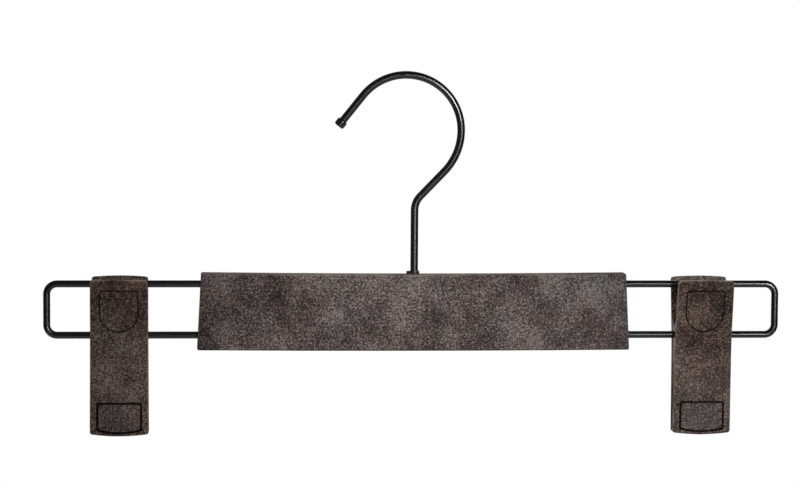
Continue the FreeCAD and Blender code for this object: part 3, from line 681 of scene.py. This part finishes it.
@dataclass
class Hook:
    """The swivel hook: stem, sloped run, bow and straight tip with its mushroom head."""

    wire: float = 3.6
    stem_rise: float = 33.3
    stem_bend: float = 9.5
    run_slope: float = 44.0
    bow_rise: float = 66.3
    lower_bow: float = 27.2
    upper_bow: float = 25.4
    tip_slope: float = 38.6
    tip_run: float = 14.9
    head_width: float = 5.0
    head_length: float = 3.2
    head_neck: float = 0.5
    head_round: float = 1.0
    head_shoulder: float = 0.45
    head_sink: float = 0.05
    dish_rim: float = 0.05
    dish_depth: float = 0.09
    foot_drop: float = 9.0
    foot_width: float = 5.4
    foot_length: float = 2.0

    def __post_init__(self) -> None:
        """Works out the places along the bow."""
        slope = math.radians(self.run_slope)
        rise = self.bow_rise - self.stem_rise
        self.lower_x = (rise * math.sin(slope) - self.lower_bow) / math.cos(slope)
        self.upper_x = self.lower_x + self.lower_bow - self.upper_bow
        inside = self.upper_bow - self.wire / 2
        self.body_top = -(self.bow_rise + math.sqrt(inside ** 2 - self.upper_x ** 2))

    def path(self) -> list[Vector]:
        """Middle of the wire, from the foot of the stem to the tip."""
        top = Vector((0, 0, self.body_top))
        lower = top + Vector((self.lower_x, 0, self.bow_rise))
        upper = top + Vector((self.upper_x, 0, self.bow_rise))
        corner = top + Vector((0, 0, self.stem_rise))
        foot = top - Vector((0, 0, self.foot_drop))
        run = arc(lower, self.lower_bow, -self.run_slope, 0)
        bow = arc(upper, self.upper_bow, 0, 180 - self.tip_slope)
        return [foot, *bend(corner, foot, run[0], self.stem_bend), *run, *bow[1:], self.tip(bow[-1])]

    def tip_way(self) -> Vector:
        """Direction of the straight tip."""
        slope = math.radians(self.tip_slope)
        return Vector((-math.sin(slope), 0, -math.cos(slope)))

    def tip(self, start: Vector) -> Vector:
        """End of the straight tip, from the end of the bow."""
        return start + self.tip_way() * self.tip_run

    def head_profile(self) -> list[tuple[float, float]]:
        """Outline of the head, from inside the wire to the middle of its slightly dished end."""
        half, shoulder, edge = self.head_width / 2, self.head_shoulder, self.head_round
        inner = self.wire / 2 - self.head_sink
        start = -self.head_neck / 2
        back = [(half - shoulder + shoulder * math.sin(turn), shoulder * (1 - math.cos(turn)) + start)
                for turn in (math.radians(degrees) for degrees in range(0, 91, 15))]
        front = [(half - edge + edge * math.cos(turn), self.head_length - edge + edge * math.sin(turn))
                 for turn in (math.radians(degrees) for degrees in range(0, 91, 10))]
        dish = [(half * 0.4, self.head_length - self.dish_rim), (0.0, self.head_length - self.dish_depth)]
        return [(0.0, -self.head_neck), (inner, -self.head_neck), *back, *front, *dish]

    def build(self, finishes: Finishes) -> None:
        """Makes the hook's wire with its head and foot."""
        path = self.path()
        hook = make_wire("hook_wire", path, self.wire / 2, finishes.lacquer, 40)
        lathe(hook.data, self.head_profile(), path[-1], self.tip_way())
        foot = self.foot_width / 2
        lathe(hook.data, [(0, 0), (foot, 0), (foot, self.foot_length), (0, self.foot_length)], path[0],
              Vector((0, 0, -1)))
        hook.data.set_sharp_from_angle(angle=math.radians(50))
        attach(hook, "hook")
        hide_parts("hook")
        log.info("hook: %d faces", len(hook.data.polygons))


@dataclass
class HangerBody:
    """The flat body: two board shells, the hook's bush and its washer."""

    fillet_low: float = 0.2
    fillet_high: float = 0.93
    pattern_shift: float = 37.0

    def build(self, finishes: Finishes) -> None:
        """Dresses the shells, the bush and the washer."""
        for face in Face:
            node = f"body_{face.word}_shell"
            shell = board_copy(node, f"{node}_board", finishes.board, self.pattern_shift * face.value)
            store(shell, "edge", lambda middle, normal: self.edge(normal))
            store(shell, "recess", lambda middle, normal: 0.0)
            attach(shell, "hanger")
            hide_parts(node)
            log.info("%s: %d faces", shell.name, len(shell.data.polygons))
        for node, finish in (("hook_bush", finishes.bush), ("hook_washer", finishes.steel)):
            dress_node(node, finish)

    def edge(self, normal: Vector) -> float:
        """1 on the rounding of the outer edges and less on the narrow sides; the roundings get a painted
        highlight and rubbed wear.
        """
        across = abs(normal.y)
        return 1.0 if self.fillet_low < across < self.fillet_high else 0.6 * (across <= self.fillet_low)


def dress_node(node: str, finish: bpy.types.Material) -> None:
    """Gives a CAD node that stays in view its finish."""
    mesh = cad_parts[node].data
    mesh.materials.clear()
    mesh.materials.append(finish)
    log.info("%s: kept from the frame", node)


@dataclass
class WireLoop:
    """The U-shaped wire at one end of the body."""

    side: Side
    body_top: float
    wire: float = 3.3
    reach: float = 170.0
    corner: float = 4.75
    drop: float = 4.5
    spacing: float = 23.6
    leg_end: float = 38.0
    leg_foot: float = 6.5
    leg_bend: float = 3.5

    def path(self) -> list[Vector]:
        """Middle of the wire, from one bent foot to the other."""
        upper = self.body_top - self.drop
        lower = upper - self.spacing
        end = self.reach - self.wire / 2
        corners = [
            (self.leg_end, upper - self.leg_foot, 0.0),
            (self.leg_end, upper, self.leg_bend),
            (end, upper, self.corner),
            (end, lower, self.corner),
            (self.leg_end, lower, self.leg_bend),
            (self.leg_end, lower + self.leg_foot, 0.0),
        ]
        points = [Vector((x * self.side.value, 0, z)) for x, z, radius in corners]
        route = [points[0]]
        for index in range(1, len(points) - 1):
            route += bend(points[index], points[index - 1], points[index + 1], corners[index][2])
        return [*route, points[-1]]

    def build(self, finishes: Finishes) -> None:
        """Makes the loop."""
        node = f"{self.side.word}_wire_loop"
        loop = make_wire(f"{node}_wire", self.path(), self.wire / 2, finishes.lacquer, 36)
        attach(loop, "hanger")
        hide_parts(node)
        log.info("%s: %d faces", loop.name, len(loop.data.polygons))


@dataclass
class Clip:
    """One sprung clip: two jaws with their pads, the hinge tube and the torsion spring."""

    side: Side
    hinge: Vector
    rise: float = 26.5
    drop: float = 46.5
    wall: float = 1.9
    foot_reach: float = 3.0
    bend_reach: float = 5.5
    tab_reach: float = 12.1
    bend_drop: float = 3.0
    thumb_half: float = 9.2
    thumb_low: float = 0.6
    thumb_high: float = 22.4
    window_half: float = 10.6
    window_low: float = -45.7
    window_high: float = -30.5
    groove_least: float = 0.04
    spring_wire: float = 1.1
    spring_gap: float = 0.6
    spring_turns: int = 5
    spring_leg: float = 17.0
    spring_toe: float = 4.5
    spring_bend: float = 1.8
    spring_clearance: float = 0.2
    spring_steps: int = 120
    blend_low: float = 4.2
    blend_margin: float = 3.0
    side_shift: float = 11.0
    face_shift: float = 29.0
    pad_shift: float = 7.0

    def __post_init__(self) -> None:
        """Works out the slopes of a jaw's outer face."""
        self.tab_slope = (self.tab_reach - self.bend_reach) / (self.rise + self.bend_drop)
        self.foot_slope = (self.bend_reach - self.foot_reach) / (self.drop - self.bend_drop)
        self.hinge_reach = self.bend_reach + self.bend_drop * self.tab_slope

    def depth(self, middle: Vector) -> float:
        """How far a point lies inside the outer face of its jaw."""
        height = middle.z - self.hinge.z
        if height > -self.bend_drop:
            reach = self.hinge_reach + height * self.tab_slope
        else:
            reach = self.foot_reach + (self.drop + height) * self.foot_slope
        return reach - abs(middle.y)

    def jaw_recess(self, middle: Vector, normal: Vector) -> float:
        """Painted shade mask: 1 inside the incised thumb mark and on the walls of the window, elsewhere 0."""
        aside = abs(middle.x - self.hinge.x)
        height = middle.z - self.hinge.z
        deep = self.depth(middle)
        thumb = aside < self.thumb_half and self.thumb_low < height < self.thumb_high
        if thumb and self.groove_least < deep < self.wall / 2:
            return 1.0
        rim = height < self.window_low + self.wall and normal.z < 0
        window = aside < self.window_half and self.window_low < height < self.window_high and not rim
        return 1.0 if window and self.groove_least < deep < self.wall * 1.2 else 0.0

    def pad_recess(self, middle: Vector, normal: Vector) -> float:
        """Painted shade mask: 1 in the gap round the pad, on the pad's walls and on its flange, elsewhere 0.
        """
        return 1.0 if self.groove_least < self.depth(middle) < self.wall * 1.2 else 0.0

    def edge(self, middle: Vector, normal: Vector) -> float:
        """1 on the rounding of a jaw's outer edges and less on its narrow sides; the roundings get a painted
        highlight and rubbed wear.
        """
        if self.depth(middle) > self.wall or abs(normal.y) > 0.9:
            return 0.0
        return 1.0 if abs(normal.y) > 0.1 else 0.6

    def build(self, finishes: Finishes) -> None:
        """Dresses the jaws and the pads and makes the spring."""
        for face in Face:
            body = f"{self.side.word}_{face.word}"
            shift = self.side_shift * self.side.value + self.face_shift * face.value
            jaw = self.dress(f"{body}_jaw", body, "fibre_board", finishes.clip_board, shift)
            # the jaws and pads carry a painted shade mask for their recesses and gaps
            store(jaw, "recess", self.jaw_recess)
            pad = self.dress(f"{body}_pad", body, "grip_pad", finishes.pad, shift + self.pad_shift)
            store(pad, "recess", self.pad_recess)
        dress_node(f"{self.side.word}_hinge_tube", finishes.steel)
        self.build_spring(finishes)

    def dress(self, node: str, body: str, slot: str, finish: bpy.types.Material,
              shift: float) -> bpy.types.Object:
        """Replaces one board node of the clip by a copy with its finish.

        Args:
            node: name of the CAD node.
            body: body that it moves with.
            slot: name of a material slot; not used.
            finish: its material.
            shift: moves the board's pattern.

        Returns:
            The piece.
        """
        piece = board_copy(node, f"{node}_board", finish, shift)
        store(piece, "edge", self.edge)
        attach(piece, body)
        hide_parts(node)
        log.info("%s: %d faces", piece.name, len(piece.data.polygons))
        return piece

    def spring_half(self, face: Face) -> list[Vector]:
        """Middle of half the spring's wire, from the toe behind one tab to the middle of the turns.

        Args:
            face: the jaw that this half presses on.

        Returns:
            The points in the hanger's frame.
        """
        tilt = math.atan(self.tab_slope)
        inside = (self.hinge_reach - self.wall) * math.cos(tilt)
        radius = inside - self.spring_clearance - self.spring_wire / 2
        sweep = math.tau * self.spring_turns - math.pi - 2 * tilt
        climb = (self.spring_wire + self.spring_gap) / math.tau
        half_length = climb * sweep / 2
        start = math.pi + tilt
        turns = []
        for index in range(self.spring_steps + 1):
            angle = sweep / 2 * index / self.spring_steps
            turn = start + angle
            across, up = radius * math.cos(turn), radius * math.sin(turn)
            turns.append(Vector((climb * angle - half_length, across, up)))
        way = Vector((climb, -radius * math.sin(start), radius * math.cos(start))).normalized()
        along = -way
        corner = turns[0] + along * ((self.spring_leg - turns[0].z) / along.z)
        toe = Vector((1, 0, 0))
        toe = (toe - along * toe.dot(along)).normalized()
        end = corner + toe * (self.spring_toe + self.spring_bend)
        route = [end, *bend(corner, end, turns[0], self.spring_bend), *turns]
        spin = Matrix.Rotation(math.pi, 3, "Z") if face is Face.BACK else Matrix.Identity(3)
        return [self.hinge + spin @ point for point in route]

    def build_spring(self, finishes: Finishes) -> None:
        """Makes the spring in two halves, each with a leg that runs along its jaw's tab."""
        for face in Face:
            name = f"{self.side.word}_spring_{face.word}"
            half = make_wire(name, self.spring_half(face), self.spring_wire / 2, finishes.steel, 16)
            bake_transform(half)
            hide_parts(f"{self.side.word}_spring")
            log.info("%s: %d faces", half.name, len(half.data.polygons))


@dataclass(frozen=True)
class Lamp:
    """One rectangular soft lamp: its place and aim in metres, its size, its power and its beam in degrees."""

    name: str
    place: tuple[float, float, float]
    aim: tuple[float, float, float]
    width: float
    height: float
    watts: float
    mirrored: bool = True
    spread: float = 180.0

    def build(self) -> None:
        """Adds the lamp; a mirrored lamp is also seen in reflections."""
        light = bpy.data.lights.new(self.name, "AREA")
        light.shape = "RECTANGLE"
        light.size, light.size_y = self.width, self.height
        light.energy = self.watts
        light.spread = math.radians(self.spread)
        lamp = bpy.data.objects.new(self.name, light)
        place = Vector(self.place)
        turned = (Vector(self.aim) - place).to_track_quat("-Z", "Y").to_matrix().to_4x4()
        lamp.matrix_world = Matrix.Translation(place) @ turned
        lamp.visible_glossy = self.mirrored
        bpy.context.scene.collection.objects.link(lamp)


HANGER_MIDDLE = (0.02, 0.0, -0.09)
LAMPS = (
    Lamp("key_box", (0.45, -1.08, 0.1), (0.06, 0.0, -0.075), 0.36, 0.66, 0.33, spread=20.0),
    Lamp("near_soft", (0.005, -0.21, 0.04), (0.005, 0.0, -0.13), 0.12, 0.08, 0.17,
         mirrored=False, spread=66.0),
    Lamp("sheen_card", (0.09, -1.05, -0.21), HANGER_MIDDLE, 0.16, 0.16, 0.12),
    Lamp("stem_card", (0.3, -1.05, -0.155), (0.0, 0.0, -0.083), 0.8, 0.07, 0.5),
    Lamp("top_soft", (0.05, -0.3, 1.2), HANGER_MIDDLE, 0.8, 0.5, 2.5, mirrored=False),
    Lamp("back_soft", (-0.3, 1.2, 0.7), HANGER_MIDDLE, 0.9, 0.6, 12.0, mirrored=False),
    Lamp("left_soft", (-1.2, 0.15, 0.35), HANGER_MIDDLE, 0.5, 0.8, 4.0, mirrored=False),
    Lamp("right_soft", (1.2, 0.15, 0.35), HANGER_MIDDLE, 0.5, 0.8, 4.0, mirrored=False),
)


@dataclass
class Studio:
    """Floor, lamps, world and camera."""

    floor_drop: float = 0.5
    floor_radius: float = 0.9
    floor_sides: int = 96
    ambient: float = 0.11
    room: float = 0.05
    azimuth: float = -4.0
    elevation: float = 4.5
    roll: float = 0.3773
    distance: float = 1.3
    focus_px: float = 2823.775
    target: tuple[float, float, float] = (-0.0066089, 0.0, -0.0746811)
    sensor: float = 36.0

    def build(self) -> None:
        """Builds the whole studio."""
        self.build_floor()
        self.build_world()
        for lamp in LAMPS:
            lamp.build()
        self.build_camera()

    def build_floor(self) -> None:
        """A round pale floor under the hanger, far enough below to stay out of the photograph's frame."""
        mesh = bpy.data.meshes.new("floor")
        turns = [math.tau * index / self.floor_sides for index in range(self.floor_sides)]
        rim = [(self.floor_radius * math.cos(turn), self.floor_radius * math.sin(turn), -self.floor_drop)
               for turn in turns]
        mesh.from_pydata(rim, [], [tuple(range(len(rim)))])
        mesh.materials.append(PaleFloor().material())
        add_object("floor", mesh)

    def build_world(self) -> None:
        """A white background in view and in reflections, a darker room in front, and a plain soft light."""
        world = bpy.data.worlds.new("studio")
        world.use_nodes = True
        bpy.context.scene.world = world
        graph = Graph(world.node_tree)
        rays = [graph.node("ShaderNodeLightPath", out=name)
                for name in ("Is Camera Ray", "Is Glossy Ray", "Is Transmission Ray")]
        seen = rays[1].math("MAXIMUM", rays[2])
        way = graph.node("ShaderNodeTexCoord", out="Generated")
        ahead = graph.node("ShaderNodeSeparateXYZ", {}, {"Vector": way}, "Y").smooth(0.5, 1.0)
        mirrored = ahead * (1 - self.room) + self.room
        strength = rays[0].math("MAXIMUM", seen * mirrored).math("MAXIMUM", self.ambient * (1 - seen))
        light = graph.node("ShaderNodeBackground", {}, {"Color": (1, 1, 1, 1), "Strength": strength})
        graph.node("ShaderNodeOutputWorld", {}, {"Surface": light})

    def build_camera(self) -> None:
        """The camera at the photograph's viewing angle."""
        turn, lift, roll = (math.radians(angle) for angle in (self.azimuth, self.elevation, self.roll))
        ahead = Vector((-math.sin(turn) * math.cos(lift), math.cos(turn) * math.cos(lift), -math.sin(lift)))
        right = ahead.cross(Vector((0, 0, 1))).normalized()
        up = right.cross(ahead)
        right, up = right * math.cos(roll) + up * math.sin(roll), up * math.cos(roll) - right * math.sin(roll)
        place = Vector(self.target) - ahead * self.distance
        lens = bpy.data.cameras.new("camera")
        lens.sensor_fit = "HORIZONTAL"
        lens.sensor_width = self.sensor
        lens.lens = self.focus_px * self.sensor / PHOTO_WIDTH
        camera = bpy.data.objects.new("camera", lens)
        turned = Matrix((right, up, -ahead)).transposed()
        camera.matrix_world = Matrix.Translation(place) @ turned.to_4x4()
        bpy.context.scene.collection.objects.link(camera)
        bpy.context.scene.camera = camera


def hinge_middle(side: Side) -> Vector:
    """Middle of a clip's hinge in millimetres, from its tube."""
    low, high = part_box(f"{side.word}_hinge_tube")
    return (low + high) / (2 * MM)


def main() -> None:
    """Builds the hanger and its studio."""
    bpy.context.scene.view_settings.view_transform = "Standard"
    finishes = Finishes.make()
    hook = Hook()
    hook.build(finishes)
    HangerBody().build(finishes)
    for side in Side:
        WireLoop(side, hook.body_top).build(finishes)
        Clip(side, hinge_middle(side)).build(finishes)
    Studio().build()


if __name__ == "__main__":
    main()
